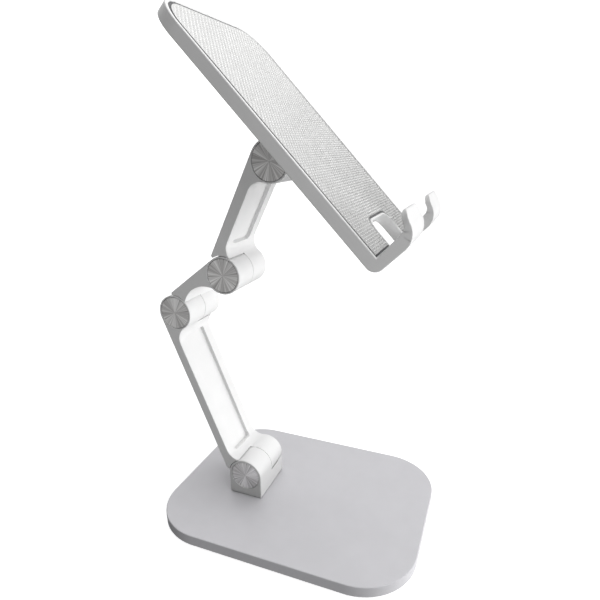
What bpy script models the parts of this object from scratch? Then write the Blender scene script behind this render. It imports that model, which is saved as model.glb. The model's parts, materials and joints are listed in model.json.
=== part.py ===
"""Folding desk stand for a phone: weighted base, three folding arms and a padded tray.

Metres, +Z up.  X runs along the hinge axes, -Y is the user's side, and the origin is the
middle of the anti-slip pad's underside, where the stand meets the desk.
Every hinge is two knuckles side by side: the one on the -X side belongs to the lower piece
and holds the bolt, the one on the +X side belongs to the upper piece and turns on it.
"""
import math

import bmesh
import bpy
from mathutils import Euler, Vector

MM = 0.001
GAP = 0.3 * MM                      # running and assembly clearance
X_AXIS_TURN = Euler((0, math.radians(90), 0))       # turns a local Z axis onto X
SIDE_VIEW_TURN = Euler((math.radians(90), 0, math.radians(90)))   # drawing (y, z), depth X
FRONT_VIEW_TURN = Euler((math.radians(90), 0, 0))   # drawing (x, z), depth -Y

# ---- driving dimensions -------------------------------------------------------------
BASE_WIDTH = 109.2 * MM
BASE_DEPTH = 141.4 * MM
BASE_HEIGHT = 6.3 * MM
BASE_CORNER = 29.5 * MM
BASE_WALL = 2.2 * MM
BASE_BOTTOM = 1.0 * MM              # the shell stands this far above the desk
BASE_TOP = BASE_BOTTOM + BASE_HEIGHT
BASE_EDGE = 0.8 * MM
CEILING = BASE_TOP - BASE_WALL
COVER_THICK = 1.6 * MM
BALLAST_THICK = 2.1 * MM
BALLAST_HOLE = 3.0 * MM             # round the heads of the pedestal screws
PAD_THICK = 0.7 * MM
PAD_INSET = 5.0 * MM
BOSS_RADIUS = 3.5 * MM
SCREW_SPOTS = [(sx * 36 * MM, sy * 52 * MM) for sx in (-1, 1) for sy in (-1, 1)]

HALF_WIDTH = 15.0 * MM              # half of every barrel and arm
SEAM = GAP / 2                      # half of the gap between two knuckles
BASE_BARREL = 9.8 * MM              # radius of the pedestal's hinge
BARREL = 9.4 * MM                   # radius of the other three hinges
KNUCKLE_CLEAR = 0.45 * MM           # between a barrel and the piece that turns round it
BACK_STOP = math.radians(33)        # how far a joint bends back past straight

BASE_HINGE = Vector((0, 29.6 * MM, 20.6 * MM))
PEDESTAL_SCREWS = [(sx * 8.0 * MM, BASE_HINGE.y + sy * 6.6 * MM)
                   for sx in (-1, 1) for sy in (-1, 1)]
LOWER_LENGTH = 100.2 * MM
LINK_LENGTH = 37.6 * MM
UPPER_LENGTH = 59.1 * MM
LOWER_LEAN = math.radians(21.75)    # leans are from upright towards +Y
LINK_LEAN = math.radians(-52.6)
UPPER_LEAN = math.radians(-26.4)
TRAY_LEAN = math.radians(44.44)

ARM_FRONT = 4.6 * MM                # the web's front face, measured behind the hinge axes
UPPER_FRONT = 3.9 * MM
ARM_FILLET = 8.0 * MM
UPPER_FILLET = 7.0 * MM
LOWER_CHANNEL = (13.5 * MM, 86.0 * MM)   # from the arm's lower hinge
UPPER_CHANNEL = (14.5 * MM, 46.0 * MM)
CHANNEL_HALF = 8.8 * MM
CHANNEL_DEPTH = 1.8 * MM
CHANNEL_CORNER = 2.0 * MM
LINK_HOLLOW_RADIUS = 13.4 * MM      # the scoop under the middle link
LINK_HOLLOW_ALONG = 17.5 * MM
LINK_HOLLOW_DROP = 9.7 * MM

CAP_RADIUS = 8.5 * MM
CAP_THICK = 1.1 * MM
CAP_SUNK = 0.2 * MM
BOLT_RADIUS = 2.0 * MM
HEAD_RADIUS = 3.5 * MM
HEAD_HEIGHT = 2.6 * MM
POCKET_RADIUS = 4.6 * MM
POCKET_FLOOR = 9.0 * MM             # distance of both pockets' floors from the seam
NUT_ACROSS = 7.0 * MM
NUT_HEIGHT = 3.2 * MM
SPRING_THICK = 0.9 * MM
FRICTION_RADIUS = 7.0 * MM
FRICTION_THICK = 0.7 * MM
BIG_HOLE = 1.4 * MM                 # radius of the holes for the 2.2 mm screws
SMALL_HOLE = 1.3 * MM               # and for the 2 mm ones

TRAY_HALF = 40.8 * MM
TRAY_TOP = 66.3 * MM                # above the tray's hinge axis, along the tray
TRAY_BOTTOM = -66.2 * MM
TRAY_FACE = 16.7 * MM               # the rim, in front of the hinge axis
TRAY_THICK = 5.5 * MM
TRAY_BACK = TRAY_FACE - TRAY_THICK
TRAY_CORNER = 16.0 * MM
RIM = 2.1 * MM
PAD_BOTTOM = -61.6 * MM
PAD_DEPTH = 1.7 * MM                # the recess for the silicone pad
TRAY_PAD_THICK = 1.0 * MM
WINDOW_HALF = 14.6 * MM
WINDOW_TOP = -48.1 * MM
WINDOW_CORNER = 5.0 * MM
HEEL_RADIUS = 4.5 * MM              # rounding of the tray's lower back edge
HOOK_REACH = 35.9 * MM              # the hook's tip, in front of the hinge axis
HOOK_TIP = -54.3 * MM

PLATE_HALF = 15.0 * MM
PLATE_TALL = 22.0 * MM
PLATE_NEAR = 9.8 * MM               # the bracket plate, in front of the hinge axis
PLATE_FAR = 12.0 * MM
PLATE_CORNER = 4.0 * MM
PLATE_HOLE_END = 14.2 * MM          # how far the screw holes run into the tray
PLATE_SCREWS = [(sx * 10.0 * MM, sz * 17.0 * MM) for sx in (-1, 1) for sz in (-1, 1)]


# ---- scene and helpers --------------------------------------------------------------
for old in list(bpy.data.objects):
    bpy.data.objects.remove(old, do_unlink=True)

PARTS = bpy.data.collections.new("phone_stand")
CUTTERS = bpy.data.collections.new("cutters")
for group in (PARTS, CUTTERS):
    bpy.context.scene.collection.children.link(group)


def material(name, color, roughness, metallic=0.0):
    """One Principled material with a plain finish."""
    made = bpy.data.materials.new(name)
    made.use_nodes = True
    shader = made.node_tree.nodes["Principled BSDF"]
    shader.inputs["Base Color"].default_value = (*color, 1.0)
    shader.inputs["Roughness"].default_value = roughness
    shader.inputs["Metallic"].default_value = metallic
    made.diffuse_color = (*color, 1.0)
    return made


WHITE = (0.86, 0.86, 0.86)


def arc(center, radius, start, end, steps):
    """Points along an arc, angles in degrees."""
    points = []
    for i in range(steps + 1):
        angle = math.radians(start + (end - start) * i / steps)
        points.append((center[0] + radius * math.cos(angle), center[1] + radius * math.sin(angle)))
    return points


def rounded_rectangle(half_x, low, high, radius, steps=6, bottom_radius=None):
    """A rectangle about x = 0 with rounded upper corners and its own lower radius."""
    lower = radius if bottom_radius is None else bottom_radius
    points = arc((half_x - radius, high - radius), radius, 0, 90, steps)
    points += arc((radius - half_x, high - radius), radius, 90, 180, steps)
    if lower > 0:
        points += arc((lower - half_x, low + lower), lower, 180, 270, steps)
        points += arc((half_x - lower, low + lower), lower, 270, 360, steps)
    else:
        points += [(-half_x, low), (half_x, low)]
    return points


def circle(center, radius, steps=24):
    return arc(center, radius, 0, 360, steps)[:-1]


def weld(mesh):
    """Closes the seams a filled curve or a turned profile leaves."""
    work = bmesh.new()
    work.from_mesh(mesh)
    bmesh.ops.remove_doubles(work, verts=work.verts, dist=1e-6)
    bmesh.ops.recalc_face_normals(work, faces=work.faces)
    work.to_mesh(mesh)
    work.free()


def settle(thing, turn, shift=(0, 0, 0)):
    """Replaces a curve or modified object by the mesh it shows, turned and shifted."""
    depsgraph = bpy.context.evaluated_depsgraph_get()
    mesh = bpy.data.meshes.new_from_object(thing.evaluated_get(depsgraph))
    matrix = turn.to_matrix().to_4x4()
    matrix.translation = Vector(shift)
    mesh.transform(matrix)
    weld(mesh)
    solid = bpy.data.objects.new(thing.name + "_solid", mesh)
    CUTTERS.objects.link(solid)
    bpy.data.objects.remove(thing, do_unlink=True)
    return solid


def prism(outlines, thickness, turn=Euler(), shift=(0, 0, 0)):
    """A flat outline (the first loop) with holes (the others), given a thickness."""
    curve = bpy.data.curves.new("outline", "CURVE")
    curve.dimensions = "2D"
    curve.fill_mode = "BOTH"
    curve.extrude = thickness / 2
    for loop in outlines:
        spline = curve.splines.new("POLY")
        spline.points.add(len(loop) - 1)
        for point, (u, v) in zip(spline.points, loop):
            point.co = (u, v, 0, 1)
        spline.use_cyclic_u = True
    drawn = bpy.data.objects.new("outline", curve)
    CUTTERS.objects.link(drawn)
    bpy.context.view_layer.update()
    return settle(drawn, turn, shift)


def side_prism(outline, low_x, high_x):
    """An outline drawn in the side view (y, z), from low_x to high_x."""
    return prism([outline], high_x - low_x, SIDE_VIEW_TURN, ((low_x + high_x) / 2, 0, 0))


def front_prism(outlines, low_y, high_y):
    """An outline drawn in the front view (x, z), from low_y to high_y."""
    return prism(outlines, high_y - low_y, FRONT_VIEW_TURN, (0, (low_y + high_y) / 2, 0))


def slab(outlines, low_z, high_z):
    """An outline drawn in plan (x, y), from low_z to high_z."""
    return prism(outlines, high_z - low_z, Euler(), (0, 0, (low_z + high_z) / 2))


def turned(profile, steps=24, turn=Euler()):
    """A turned solid: profile is (radius, height), from the top down the outer side."""
    mesh = bpy.data.meshes.new("profile")
    closed = profile[0][0] > 0
    edges = [(i, i + 1) for i in range(len(profile) - 1)]
    if closed:
        edges.append((len(profile) - 1, 0))
    mesh.from_pydata([(r, 0, h) for r, h in profile], edges, [])
    drawn = bpy.data.objects.new("profile", mesh)
    CUTTERS.objects.link(drawn)
    screw = drawn.modifiers.new("Screw", "SCREW")
    screw.steps = steps
    screw.render_steps = steps
    screw.use_merge_vertices = True
    screw.merge_threshold = 0.000001
    bpy.context.view_layer.update()
    return settle(drawn, turn)


def flip_side(solid):
    """Turns a solid half a turn about Z, from the +X side to the -X side."""
    solid.data.transform(Euler((0, 0, math.pi)).to_matrix().to_4x4())
    return solid


def cylinder(radius, low, high, steps, at):
    """An upright cylinder about the plan point at."""
    solid = turned([(0, high), (radius, high), (radius, low), (0, low)], steps)
    solid.location = (at[0], at[1], 0)
    return solid


def add_boolean(piece, tool, operation, shift):
    """Adds a Boolean modifier that uses tool, placed in the piece's frame."""
    tool.parent = piece.parent
    tool.location += Vector(shift)
    tool.hide_render = True
    tool.display_type = "WIRE"
    step = piece.modifiers.new(operation.title(), "BOOLEAN")
    step.operation = operation
    step.solver = "EXACT"
    step.object = tool


def cut(piece, tool, shift=(0, 0, 0)):
    add_boolean(piece, tool, "DIFFERENCE", shift)


def join(piece, tool, shift=(0, 0, 0)):
    add_boolean(piece, tool, "UNION", shift)


def part(name, solid, finish, frame=None, shift=(0, 0, 0), smooth=False):
    """Turns a solid into a named part in its frame."""
    solid.name = name
    solid.data.name = name
    CUTTERS.objects.unlink(solid)
    PARTS.objects.link(solid)
    solid.parent = frame
    solid.location += Vector(shift)
    solid.data.materials.clear()
    solid.data.materials.append(finish)
    if smooth:
        solid.data.shade_smooth()
        solid.data.set_sharp_from_angle(angle=math.radians(30))
    return solid


def round_edges(piece, width, segments=2, angle=40):
    bevel = piece.modifiers.new("Bevel", "BEVEL")
    bevel.width = width
    bevel.segments = segments
    bevel.limit_method = "ANGLE"
    bevel.angle_limit = math.radians(angle)
    return bevel


def hinge_frame(name, parent, location, lean):
    """An empty on a hinge axis; its Z runs along the piece that turns there."""
    frame = bpy.data.objects.new(name, None)
    PARTS.objects.link(frame)
    frame.parent = parent
    frame.location = location
    frame.rotation_euler = (-lean, 0, 0)
    frame.empty_display_size = 0.01
    return frame


# ---- finishes -----------------------------------------------------------------------
BASE_PLASTIC = material("base_plastic", (0.60, 0.59, 0.62), 0.55)
ARM_PLASTIC = material("arm_plastic", WHITE, 0.40)
TRAY_PLASTIC = material("tray_plastic", WHITE, 0.42)
SPUN_METAL = material("spun_metal", (0.62, 0.62, 0.62), 0.28, 1.0)
STEEL = material("zinc_steel", (0.55, 0.55, 0.56), 0.35, 1.0)
BALLAST_STEEL = material("ballast_steel", (0.35, 0.35, 0.36), 0.55, 1.0)
NYLON = material("nylon", (0.80, 0.79, 0.74), 0.5)
SILICONE = material("silicone", (0.66, 0.66, 0.65), 0.5)
SILICONE_DARK = material("pad_silicone", (0.16, 0.16, 0.17), 0.75)

# ---- the frames of the moving pieces --------------------------------------------------
lower_frame = hinge_frame("lower_arm_axis", None, BASE_HINGE, LOWER_LEAN)
link_frame = hinge_frame("link_axis", lower_frame, (0, 0, LOWER_LENGTH), LINK_LEAN - LOWER_LEAN)
upper_frame = hinge_frame("upper_arm_axis", link_frame, (0, 0, LINK_LENGTH),
                          UPPER_LEAN - LINK_LEAN)
tray_frame = hinge_frame("tray_axis", upper_frame, (0, 0, UPPER_LENGTH), TRAY_LEAN - UPPER_LEAN)
base_frame = hinge_frame("base_axis", None, BASE_HINGE, 0.0)


# ---- hinge pieces -------------------------------------------------------------------
RECESS_DEPTH = CAP_SUNK + CAP_THICK + GAP


def knuckle_bore(side):
    """Everything bored out of one knuckle: cap recess, pocket, shank hole, washer seat."""
    outer = HALF_WIDTH + 1.0 * MM
    seat = FRICTION_THICK / 2 + GAP
    cap_floor = HALF_WIDTH - RECESS_DEPTH
    steps = [
        (CAP_RADIUS + GAP, outer, cap_floor),
        (POCKET_RADIUS, cap_floor, POCKET_FLOOR),
        (BOLT_RADIUS + GAP, POCKET_FLOOR, seat),
        (FRICTION_RADIUS + GAP, seat, -GAP),
    ]
    profile = [(0, outer)]
    for radius, high, low in steps:
        profile += [(radius, high), (radius, low)]
    profile.append((0, -GAP))
    bore = turned(profile, 20, X_AXIS_TURN)
    return flip_side(bore) if side < 0 else bore


def turning_room(side, barrel, stop_side):
    """The space that the neighbour's barrel and web sweep in one half of a piece.

    stop_side is +1 at an arm's lower end and -1 at its upper end.  The wedge takes off the
    corner at the back, so that the joint can bend back past straight.
    """
    low, high = (-HALF_WIDTH - MM, SEAM) if side < 0 else (-SEAM, HALF_WIDTH + MM)
    reach = 3 * barrel
    wedge = [(0, 0)]
    for angle in (BACK_STOP, BACK_STOP - math.radians(60)):
        wedge.append((reach * math.cos(angle), stop_side * reach * math.sin(angle)))
    round_room = circle((0, 0), barrel + KNUCKLE_CLEAR, 28)
    return side_prism(round_room, low, high), side_prism(wedge, low, high)


def hinge(number, lower_body, lower_shift, upper_body):
    """Bolt, washers, nut and caps of one hinge."""
    cap_outer = HALF_WIDTH - CAP_SUNK
    cap_inner = cap_outer - CAP_THICK
    chamfer = 0.25 * MM
    cap_profile = [(0, cap_outer), (CAP_RADIUS - chamfer, cap_outer),
                   (CAP_RADIUS, cap_outer - chamfer), (CAP_RADIUS, cap_inner), (0, cap_inner)]
    part(f"hinge_{number}_right_cap", turned(cap_profile, 24, X_AXIS_TURN), SPUN_METAL,
         upper_body, smooth=True)
    part(f"hinge_{number}_left_cap", flip_side(turned(cap_profile, 24, X_AXIS_TURN)),
         SPUN_METAL, lower_body, lower_shift, smooth=True)

    spring_far = POCKET_FLOOR + GAP
    head_low = -(spring_far + SPRING_THICK + GAP)
    tip = POCKET_FLOOR + 2 * GAP + NUT_HEIGHT + 0.5 * MM
    shank_end = 0.4 * MM
    bolt = part(f"hinge_{number}_bolt", turned([
        (0, tip), (BOLT_RADIUS - shank_end, tip), (BOLT_RADIUS, tip - shank_end),
        (BOLT_RADIUS, head_low), (HEAD_RADIUS, head_low),
        (HEAD_RADIUS, head_low - HEAD_HEIGHT), (0, head_low - HEAD_HEIGHT)], 12, X_AXIS_TURN),
        STEEL, lower_body, lower_shift, smooth=True)
    socket_radius = 1.7 * MM
    socket_depth = 1.5 * MM
    socket = side_prism(circle((0, 0), socket_radius, 6), head_low - HEAD_HEIGHT - MM,
                        head_low - HEAD_HEIGHT + socket_depth)
    cut(bolt, socket, lower_shift)

    ring = [circle((0, 0), FRICTION_RADIUS, 20), circle((0, 0), BOLT_RADIUS + GAP, 12)]
    friction = prism(ring, FRICTION_THICK, SIDE_VIEW_TURN)
    part(f"hinge_{number}_friction_washer", friction, NYLON, lower_body, lower_shift)

    dish = 0.35 * MM
    spring = turned([
        (BOLT_RADIUS + GAP, -spring_far - dish), (POCKET_RADIUS - GAP, -spring_far),
        (POCKET_RADIUS - GAP, -spring_far - SPRING_THICK + dish),
        (BOLT_RADIUS + GAP, -spring_far - SPRING_THICK)], 16, X_AXIS_TURN)
    part(f"hinge_{number}_spring_washer", spring, STEEL, lower_body, lower_shift, smooth=True)

    nut_low = POCKET_FLOOR + GAP
    hexagon = circle((0, 0), NUT_ACROSS / math.sqrt(3), 6)
    nut = prism([hexagon, circle((0, 0), BOLT_RADIUS + GAP, 12)], NUT_HEIGHT, SIDE_VIEW_TURN,
                (nut_low + NUT_HEIGHT / 2, 0, 0))
    part(f"hinge_{number}_nut", nut, STEEL, lower_body, lower_shift)


# ---- arms ---------------------------------------------------------------------------
def arm_outline(length, low_radius, high_radius, front, fillet, steps=16):
    """Side view of an arm: two barrels, a flat back and a filleted front.

    The drawing is (y, z): z runs from the lower hinge to the upper one, y to the back.
    """
    slope = math.degrees(math.asin((low_radius - high_radius) / length))
    low_mid = math.sqrt((low_radius + fillet) ** 2 - (front - fillet) ** 2)
    high_mid = length - math.sqrt((high_radius + fillet) ** 2 - (front - fillet) ** 2)
    low_touch = math.degrees(math.atan2(low_mid, front - fillet))
    high_touch = math.degrees(math.atan2(high_mid - length, front - fillet))
    points = arc((0, 0), low_radius, low_touch, 360 + slope, steps)
    points += arc((0, length), high_radius, slope, 360 + high_touch, steps)
    points += arc((front - fillet, high_mid), fillet, high_touch + 180, 0, 6)[1:]
    points += arc((front - fillet, low_mid), fillet, 0, low_touch - 180, 6)[:-1]
    return points


def link_outline(steps=16):
    """Side view of the middle link: flat back and one wide scoop in front."""
    hollow = (-LINK_HOLLOW_DROP, LINK_HOLLOW_ALONG)
    points = []

    def meeting(center):
        """Angle on the barrel at center where the scoop's circle crosses it."""
        dy = hollow[0] - center[0]
        dz = hollow[1] - center[1]
        apart = math.hypot(dy, dz)
        cosine = (apart ** 2 + BARREL ** 2 - LINK_HOLLOW_RADIUS ** 2) / (2 * apart * BARREL)
        return math.degrees(math.atan2(dz, dy)), math.degrees(math.acos(cosine))

    low_dir, low_open = meeting((0, 0))
    high_dir, high_open = meeting((0, LINK_LENGTH))
    low_angle = low_dir - low_open
    high_angle = high_dir + high_open
    points += arc((0, 0), BARREL, low_angle, 360, steps)
    points += arc((0, LINK_LENGTH), BARREL, 0, 360 + high_angle if high_angle < 0 else high_angle,
                  steps)
    high_point = points[-1]
    low_point = points[0]
    start = math.degrees(math.atan2(high_point[1] - hollow[1], high_point[0] - hollow[0]))
    end = math.degrees(math.atan2(low_point[1] - hollow[1], low_point[0] - hollow[0]))
    points += arc(hollow, LINK_HOLLOW_RADIUS, start, end, 12)[1:-1]
    return points


def make_arm(name, outline, frame, length, low_barrel, high_barrel):
    """An arm from its side view, with room for both neighbours and its two bores."""
    arm = part(name, side_prism(outline, -HALF_WIDTH, HALF_WIDTH), ARM_PLASTIC, frame)
    for tool in turning_room(-1, low_barrel, 1):
        cut(arm, tool)
    for tool in turning_room(1, high_barrel, -1):
        cut(arm, tool, (0, 0, length))
    cut(arm, knuckle_bore(1))
    cut(arm, knuckle_bore(-1), (0, 0, length))
    return arm


def cut_channel(arm, low, high, front):
    """The sunk panel in the front of an arm."""
    outline = rounded_rectangle(CHANNEL_HALF, low, high, CHANNEL_CORNER, 3)
    cut(arm, front_prism([outline], front - 3 * MM, front + CHANNEL_DEPTH))


lower_arm = make_arm("lower_arm", arm_outline(LOWER_LENGTH, BASE_BARREL, BARREL, ARM_FRONT,
                                              ARM_FILLET), lower_frame, LOWER_LENGTH,
                     BASE_BARREL, BARREL)
cut_channel(lower_arm, *LOWER_CHANNEL, ARM_FRONT)

middle_link = make_arm("middle_link", link_outline(), link_frame, LINK_LENGTH, BARREL, BARREL)

upper_arm = make_arm("upper_arm", arm_outline(UPPER_LENGTH, BARREL, BARREL, UPPER_FRONT,
                                              UPPER_FILLET), upper_frame, UPPER_LENGTH,
                     BARREL, BARREL)
cut_channel(upper_arm, *UPPER_CHANNEL, UPPER_FRONT)


# ---- pedestal -----------------------------------------------------------------------
def make_pedestal():
    """Round-topped block on the base that holds the lowest hinge."""
    foot = BASE_TOP + GAP - BASE_HINGE.z
    outline = arc((0, 0), BASE_BARREL, 0, 180, 18) + [(-BASE_BARREL, foot), (BASE_BARREL, foot)]
    block = part("pedestal", side_prism(outline, -HALF_WIDTH, HALF_WIDTH), ARM_PLASTIC,
                 base_frame)
    turning = circle((0, 0), BASE_BARREL + KNUCKLE_CLEAR, 28)
    cut(block, side_prism(turning, -SEAM, HALF_WIDTH + MM))
    cut(block, knuckle_bore(-1))
    for x, y in PEDESTAL_SCREWS:
        cut(block, cylinder(BIG_HOLE, foot - MM, foot + 3.9 * MM, 12, (x, y - BASE_HINGE.y)))


make_pedestal()


# ---- base ---------------------------------------------------------------------------
def base_outline(inset, steps=8):
    half_y = BASE_DEPTH / 2 - inset
    return rounded_rectangle(BASE_WIDTH / 2 - inset, -half_y, half_y, BASE_CORNER - inset, steps)


def make_base():
    shell = part("base_shell", slab([base_outline(0)], BASE_BOTTOM, BASE_TOP), BASE_PLASTIC)
    round_edges(shell, BASE_EDGE, 2)
    cut(shell, slab([base_outline(BASE_WALL)], BASE_BOTTOM - MM, CEILING))
    boss_foot = BASE_BOTTOM + COVER_THICK + GAP
    for x, y in SCREW_SPOTS:
        join(shell, cylinder(BOSS_RADIUS, boss_foot, CEILING + 0.5 * MM, 16, (x, y)))
        cut(shell, cylinder(SMALL_HOLE, boss_foot - MM, CEILING, 12, (x, y)))
    for x, y in PEDESTAL_SCREWS:
        cut(shell, cylinder(BIG_HOLE, CEILING - MM, BASE_TOP + MM, 12, (x, y)))

    ballast_low = CEILING - GAP - BALLAST_THICK
    holes = [circle(spot, BOSS_RADIUS + GAP, 12) for spot in SCREW_SPOTS]
    holes += [circle(spot, BALLAST_HOLE, 12) for spot in PEDESTAL_SCREWS]
    part("ballast_plate", slab([base_outline(BASE_WALL + 0.6 * MM)] + holes, ballast_low,
                               CEILING - GAP), BALLAST_STEEL)

    cover = part("bottom_cover", slab([base_outline(BASE_WALL + GAP)], BASE_BOTTOM,
                                      BASE_BOTTOM + COVER_THICK), BASE_PLASTIC)
    seat = 1.1 * MM
    for x, y in SCREW_SPOTS:
        cut(cover, cylinder(2.6 * MM, BASE_BOTTOM - MM, BASE_BOTTOM + seat, 12, (x, y)))
        cut(cover, cylinder(SMALL_HOLE, BASE_BOTTOM, BASE_TOP, 12, (x, y)))
    part("anti_slip_pad", slab([base_outline(PAD_INSET)], 0, PAD_THICK), SILICONE_DARK)


def screw(name, head_radius, head_height, shank_radius, length, finish, frame, shift, turn):
    """A pan-head screw whose head faces down its local Z before turning."""
    solid = turned([(0, head_height + length), (shank_radius, head_height + length),
                    (shank_radius, head_height), (head_radius, head_height),
                    (head_radius, 0), (0, 0)], 12, turn)
    return part(name, solid, finish, frame, shift, smooth=True)


make_base()
for index, (x, y) in enumerate(SCREW_SPOTS):
    screw(f"cover_screw_{index + 1}", 2.3 * MM, 0.7 * MM, 1.0 * MM, 2.6 * MM, STEEL, None,
          (x, y, BASE_BOTTOM + 0.15 * MM), Euler())
for index, (x, y) in enumerate(PEDESTAL_SCREWS):
    screw(f"pedestal_screw_{index + 1}", 2.5 * MM, 1.6 * MM, 1.1 * MM, 6.2 * MM, STEEL, None,
          (x, y, CEILING - GAP - 1.6 * MM), Euler())

# ---- hinges -------------------------------------------------------------------------
hinge(1, base_frame, (0, 0, 0), lower_frame)
hinge(2, lower_frame, (0, 0, LOWER_LENGTH), link_frame)
hinge(3, link_frame, (0, 0, LINK_LENGTH), upper_frame)
hinge(4, upper_frame, (0, 0, UPPER_LENGTH), tray_frame)


# ---- tray ---------------------------------------------------------------------------
def ledge_outline():
    """Side view (y, z) of the tray's foot: heel, ledge and upturned hook.

    y is negative in front of the hinge axis.
    """
    heel = (-(TRAY_BACK + HEEL_RADIUS), TRAY_BOTTOM + HEEL_RADIUS)
    toe_radius = 8.0 * MM
    toe = (-26.6 * MM, TRAY_BOTTOM + toe_radius)
    throat_radius = 3.4 * MM
    throat = (-29.4 * MM, -57.3 * MM)
    tip_radius = 1.05 * MM
    tip = (-(HOOK_REACH - tip_radius), HOOK_TIP - tip_radius)
    join_height = PAD_BOTTOM + 3 * MM
    points = [(-TRAY_BACK, join_height)]
    points += arc(heel, HEEL_RADIUS, 0, -90, 5)
    points += arc(toe, toe_radius, -90, -170, 8)
    points += arc(tip, tip_radius, -200, -360, 5)
    points += arc(throat, throat_radius, 180, 270, 5)
    points += [(-TRAY_FACE, PAD_BOTTOM), (-TRAY_FACE, join_height)]
    return points


def make_tray():
    plate_outline = rounded_rectangle(TRAY_HALF, PAD_BOTTOM + MM, TRAY_TOP, TRAY_CORNER, 8, 0)
    tray = part("tray_shell", front_prism([plate_outline], -TRAY_FACE, -TRAY_BACK),
                TRAY_PLASTIC, tray_frame)
    join(tray, side_prism(ledge_outline(), -TRAY_HALF, TRAY_HALF))
    pad_pocket = rounded_rectangle(TRAY_HALF - RIM, PAD_BOTTOM, TRAY_TOP - RIM,
                                   TRAY_CORNER - RIM, 8, 0)
    cut(tray, front_prism([pad_pocket], -TRAY_FACE - 0.5 * MM, -TRAY_FACE + PAD_DEPTH))
    window = rounded_rectangle(WINDOW_HALF, PAD_BOTTOM, WINDOW_TOP, WINDOW_CORNER, 4, 0)
    cut(tray, front_prism([window], -TRAY_FACE - MM, -TRAY_BACK + MM))
    between = rounded_rectangle(WINDOW_HALF, TRAY_BOTTOM - MM, HOOK_TIP + 2 * MM, MM, 1, 0)
    cut(tray, front_prism([between], -HOOK_REACH - MM, -TRAY_FACE))
    plate_pocket = rounded_rectangle(PLATE_HALF + GAP, -PLATE_TALL - GAP, PLATE_TALL + GAP,
                                     PLATE_CORNER + GAP, 4)
    cut(tray, front_prism([plate_pocket], -PLATE_FAR - GAP, -TRAY_BACK + MM))
    for x, z in PLATE_SCREWS:
        cut(tray, front_prism([circle((x, z), BIG_HOLE, 8)], -PLATE_HOLE_END, -TRAY_BACK + MM))

    pad = rounded_rectangle(TRAY_HALF - RIM - GAP, PAD_BOTTOM + GAP, TRAY_TOP - RIM - GAP,
                            TRAY_CORNER - RIM - GAP, 8, 0)
    floor = -TRAY_FACE + PAD_DEPTH - GAP
    silicone = part("tray_pad", front_prism([pad], floor - TRAY_PAD_THICK, floor), SILICONE,
                    tray_frame)
    pad_window = rounded_rectangle(WINDOW_HALF, PAD_BOTTOM - MM, WINDOW_TOP, WINDOW_CORNER, 4, 0)
    cut(silicone, front_prism([pad_window], -TRAY_FACE - MM, -TRAY_BACK))


def make_bracket():
    """Knuckle and screwed plate that carry the tray."""
    outline = arc((0, 0), BARREL, -90, 90, 12)
    outline += [(-PLATE_NEAR - MM, BARREL), (-PLATE_NEAR - MM, -BARREL)]
    bracket = part("tray_bracket", side_prism(outline, SEAM, HALF_WIDTH), ARM_PLASTIC,
                   tray_frame)
    plate = rounded_rectangle(PLATE_HALF, -PLATE_TALL, PLATE_TALL, PLATE_CORNER, 4)
    join(bracket, front_prism([plate], -PLATE_FAR, -PLATE_NEAR))
    cut(bracket, knuckle_bore(1))
    for x, z in PLATE_SCREWS:
        cut(bracket, front_prism([circle((x, z), 2.7 * MM, 12)], -PLATE_NEAR - 1.2 * MM,
                                 -PLATE_NEAR + MM))
        cut(bracket, front_prism([circle((x, z), BIG_HOLE, 8)], -PLATE_FAR - MM, -PLATE_NEAR))
    for index, (x, z) in enumerate(PLATE_SCREWS):
        screw(f"bracket_screw_{index + 1}", 2.3 * MM, 0.8 * MM, 1.1 * MM, 3.0 * MM, STEEL,
              tray_frame, (x, -PLATE_NEAR - 0.1 * MM, z), Euler((math.radians(90), 0, 0)))


make_tray()
make_bracket()
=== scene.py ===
"""Looks of the folding phone stand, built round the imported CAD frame.

Shapes are drawn in millimetres. An arm, the link and the tray are drawn in their own frame: its
hinge axis is the origin, +Z runs along the piece and +Y is its back. The pedestal is drawn about
its hinge axis and the base in the frame of the whole stand. place() turns them all into metres.
"""
import json
import math

import bmesh
import bpy
from mathutils import Matrix, Vector


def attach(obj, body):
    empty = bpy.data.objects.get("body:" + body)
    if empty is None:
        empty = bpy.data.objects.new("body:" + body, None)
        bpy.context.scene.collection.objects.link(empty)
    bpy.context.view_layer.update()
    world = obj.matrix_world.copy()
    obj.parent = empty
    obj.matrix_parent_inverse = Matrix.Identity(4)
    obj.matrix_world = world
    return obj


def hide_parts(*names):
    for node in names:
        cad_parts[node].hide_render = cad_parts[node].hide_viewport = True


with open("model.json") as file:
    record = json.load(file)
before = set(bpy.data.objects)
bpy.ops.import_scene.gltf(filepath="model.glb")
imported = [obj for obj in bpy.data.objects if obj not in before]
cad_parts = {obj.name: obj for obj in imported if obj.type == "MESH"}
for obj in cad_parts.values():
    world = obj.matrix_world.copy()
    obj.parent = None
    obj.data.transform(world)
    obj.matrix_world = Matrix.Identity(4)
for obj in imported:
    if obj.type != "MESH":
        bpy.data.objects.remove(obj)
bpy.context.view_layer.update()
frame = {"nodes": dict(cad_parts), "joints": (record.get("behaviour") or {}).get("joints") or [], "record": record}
MM = 0.001

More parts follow.
